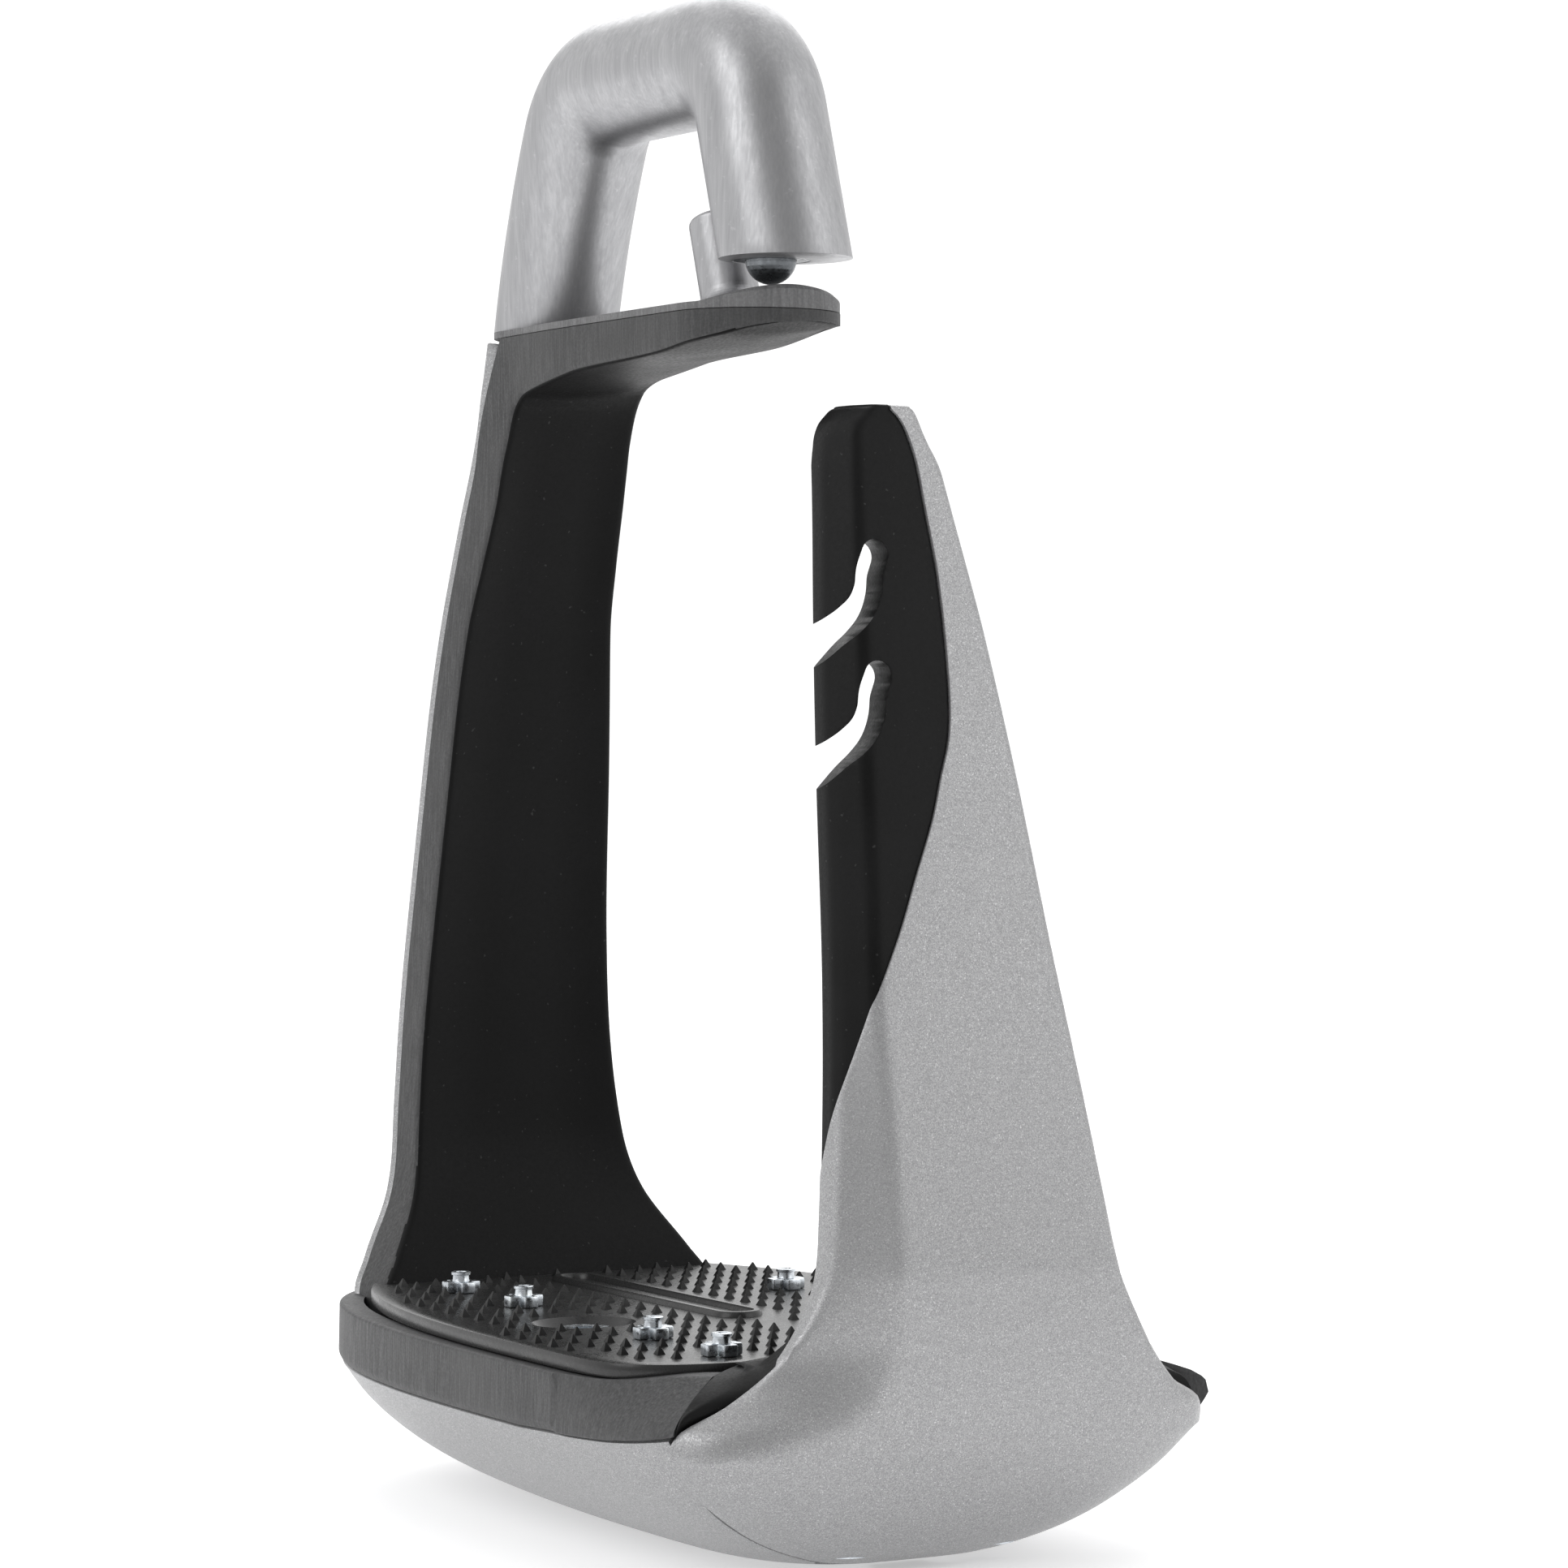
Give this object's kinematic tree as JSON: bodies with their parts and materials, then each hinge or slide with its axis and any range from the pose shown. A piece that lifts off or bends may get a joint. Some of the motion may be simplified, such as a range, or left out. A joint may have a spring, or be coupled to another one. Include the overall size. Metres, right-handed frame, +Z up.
{
  "type": "stirrup iron",
  "caption": "Left safety stirrup iron: cushioned grip tread, fixed inner arm under an offset strap hook with peg and sprung catch, and an outer arm that flexes open to free the foot.",
  "frame": {"origin": "on the ground, under the centre of the bounding box", "axes": "+X to the outer releasing arm, -Y to the toe side, +Z up"},
  "size_m": [0.1317, 0.077, 0.1934],
  "materials": {
    "core_black": "matte black moulded polymer",
    "cover_silver": "satin silver paint with fine flake",
    "bar_metal": "worn brushed",
    "band_grey": "dark grey, faint vertical grain",
    "pad_rubber": "matte moulded",
    "steel_zinc": "zinc plated",
    "insert_brass": "as drawn"
  },
  "bodies": {
    "frame": {"platform_core": "core_black", "inner_arm_core": "core_black", "head_block": "core_black", "inner_arm_cover": "cover_silver", "base_shell": "cover_silver", "foot_plate": "steel_zinc", "foot_liner": "core_black", "foot_cover": "cover_silver", "hook_bar": "bar_metal", "hook_screw_1": "steel_zinc", "hook_screw_2": "steel_zinc", "deck_plate": "bar_metal", "strap_peg": "bar_metal", "peg_screw": "steel_zinc", "catch_sleeve": "steel_zinc", "catch_spring": "steel_zinc", "tread_band": "band_grey", "tread_pad": "pad_rubber", "pad_screw_1": "steel_zinc", "pad_screw_2": "steel_zinc", "stud_1": "steel_zinc", "stud_2": "steel_zinc", "stud_3": "steel_zinc", "stud_4": "steel_zinc", "stud_5": "steel_zinc", "stud_6": "steel_zinc", "stud_7": "steel_zinc", "stud_insert_1": "insert_brass", "stud_insert_2": "insert_brass", "stud_insert_3": "insert_brass", "stud_insert_4": "insert_brass", "stud_insert_5": "insert_brass", "stud_insert_6": "insert_brass", "stud_insert_7": "insert_brass", "base_screw_1": "steel_zinc", "base_screw_2": "steel_zinc", "root_screw_1": "steel_zinc", "root_screw_2": "steel_zinc", "arm_bolt_1": "steel_zinc", "arm_bolt_2": "steel_zinc"},
    "outer_arm": {"outer_arm_liner": "core_black", "outer_arm_cover": "cover_silver", "spring_leaf": "steel_zinc", "leaf_rivet_1": "steel_zinc", "leaf_rivet_2": "steel_zinc"},
    "catch": {"catch_pin": "steel_zinc"}
  },
  "joints": [
    {"name": "outer_arm_flex", "type": "hinge", "parent": "frame", "child": "outer_arm", "pos_m": [0.06205, 0, 0.037], "axis": [0, 1, 0], "range_deg": [0, 30], "stiffness_Nm_per_rad": 8},
    {"name": "catch_slide", "type": "slide", "parent": "frame", "child": "catch", "axis": [0, 0, 1], "range_m": [0, 0.0028], "stiffness_N_per_m": 800, "springref_m": -0.001, "deforming": ["catch_spring"]}
  ]
}
